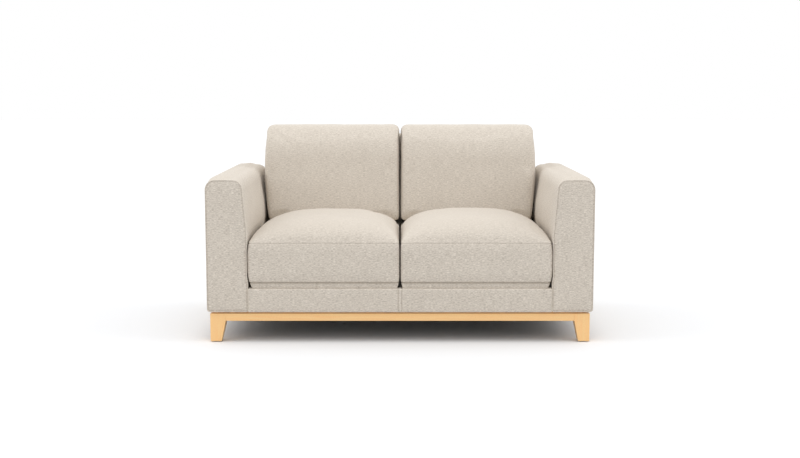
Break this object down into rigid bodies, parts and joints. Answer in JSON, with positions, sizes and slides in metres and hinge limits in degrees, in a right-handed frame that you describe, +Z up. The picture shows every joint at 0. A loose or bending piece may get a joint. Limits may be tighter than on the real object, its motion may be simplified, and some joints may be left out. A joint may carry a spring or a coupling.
{
  "type": "two-seat settee",
  "caption": "Low padded settee with square arms, loose box seat cushions, loose back cushions and a pale wooden plinth on tapered legs.",
  "frame": {"origin": "on the floor under the middle of the settee", "axes": "+X along the width to the right seen from the front, +Y from the front to the back, +Z up"},
  "size_m": [1.6, 0.92, 0.8773],
  "materials": {
    "beech": "satin lacquer",
    "frame_timber": "sawn",
    "hardboard": "matte",
    "glide_plastic": "matte",
    "steel": "zinc plated",
    "zip_metal": "antique",
    "foam": "matte",
    "woven_fabric": "heathered plain weave",
    "deck_fabric": "matte",
    "webbing": "woven",
    "dust_cloth": "non-woven"
  },
  "bodies": {
    "settee_frame": {"leg_front_left": "beech", "leg_front_right": "beech", "leg_rear_left": "beech", "leg_rear_right": "beech", "plinth_front_rail": "beech", "plinth_rear_rail": "beech", "plinth_side_rail_left": "beech", "plinth_side_rail_right": "beech", "plinth_dowels": "frame_timber", "plinth_corner_braces": "frame_timber", "seat_front_rail": "frame_timber", "seat_back_rail": "frame_timber", "seat_side_rail_left": "frame_timber", "seat_side_rail_right": "frame_timber", "seat_centre_stretcher": "frame_timber", "seat_corner_blocks": "frame_timber", "arm_frame_left": "frame_timber", "arm_frame_right": "frame_timber", "back_posts": "frame_timber", "back_rails": "frame_timber", "arm_boards_left": "hardboard", "arm_boards_right": "hardboard", "leg_glides": "glide_plastic", "plinth_screws": "steel", "seat_springs": "steel", "spring_clips": "steel", "arm_bolts": "steel", "back_bolts": "steel", "deck_pad": "foam", "arm_padding_left": "foam", "arm_padding_right": "foam", "back_padding": "foam", "front_rail_padding": "foam", "arm_cover_left": "woven_fabric", "arm_cover_right": "woven_fabric", "arm_facing_left": "woven_fabric", "arm_facing_right": "woven_fabric", "arm_rear_panel_left": "woven_fabric", "arm_rear_panel_right": "woven_fabric", "inside_back_cover": "woven_fabric", "outside_back_cover": "woven_fabric", "front_rail_cover_left": "woven_fabric", "front_rail_cover_right": "woven_fabric", "front_rail_strip": "woven_fabric", "deck_cloth": "deck_fabric", "back_webbing": "webbing", "dust_cover": "dust_cloth"},
    "seat_cushion_left_body": {"seat_cushion_left": "woven_fabric", "seat_cushion_core_left": "foam"},
    "seat_cushion_right_body": {"seat_cushion_right": "woven_fabric", "seat_cushion_core_right": "foam"},
    "back_cushion_left_body": {"back_cushion_left": "woven_fabric", "back_cushion_core_left": "foam"},
    "back_cushion_right_body": {"back_cushion_right": "woven_fabric", "back_cushion_core_right": "foam"},
    "seat_zip_left_body": {"seat_zip_slider_left": "zip_metal"},
    "seat_zip_right_body": {"seat_zip_slider_right": "zip_metal"},
    "back_zip_left_body": {"back_zip_slider_left": "zip_metal"},
    "back_zip_right_body": {"back_zip_slider_right": "zip_metal"}
  },
  "joints": [
    {"name": "seat_cushion_left_draw_out", "type": "slide", "parent": "settee_frame", "child": "seat_cushion_left_body", "axis": [0, -1, 0], "range_m": [0, 0.74]},
    {"name": "back_cushion_left_lift", "type": "slide", "parent": "settee_frame", "child": "back_cushion_left_body", "axis": [0, 0, 1], "range_m": [0, 0.42]},
    {"name": "seat_zip_left_slide", "type": "slide", "parent": "seat_cushion_left_body", "child": "seat_zip_left_body", "axis": [1, 0, 0], "range_m": [0, 0.44]},
    {"name": "back_zip_left_slide", "type": "slide", "parent": "back_cushion_left_body", "child": "back_zip_left_body", "axis": [1, 0, 0], "range_m": [0, 0.44]},
    {"name": "seat_cushion_right_draw_out", "type": "slide", "parent": "settee_frame", "child": "seat_cushion_right_body", "axis": [0, -1, 0], "range_m": [0, 0.74]},
    {"name": "back_cushion_right_lift", "type": "slide", "parent": "settee_frame", "child": "back_cushion_right_body", "axis": [0, 0, 1], "range_m": [0, 0.42]},
    {"name": "seat_zip_right_slide", "type": "slide", "parent": "seat_cushion_right_body", "child": "seat_zip_right_body", "axis": [1, 0, 0], "range_m": [0, 0.44]},
    {"name": "back_zip_right_slide", "type": "slide", "parent": "back_cushion_right_body", "child": "back_zip_right_body", "axis": [1, 0, 0], "range_m": [0, 0.44]}
  ]
}
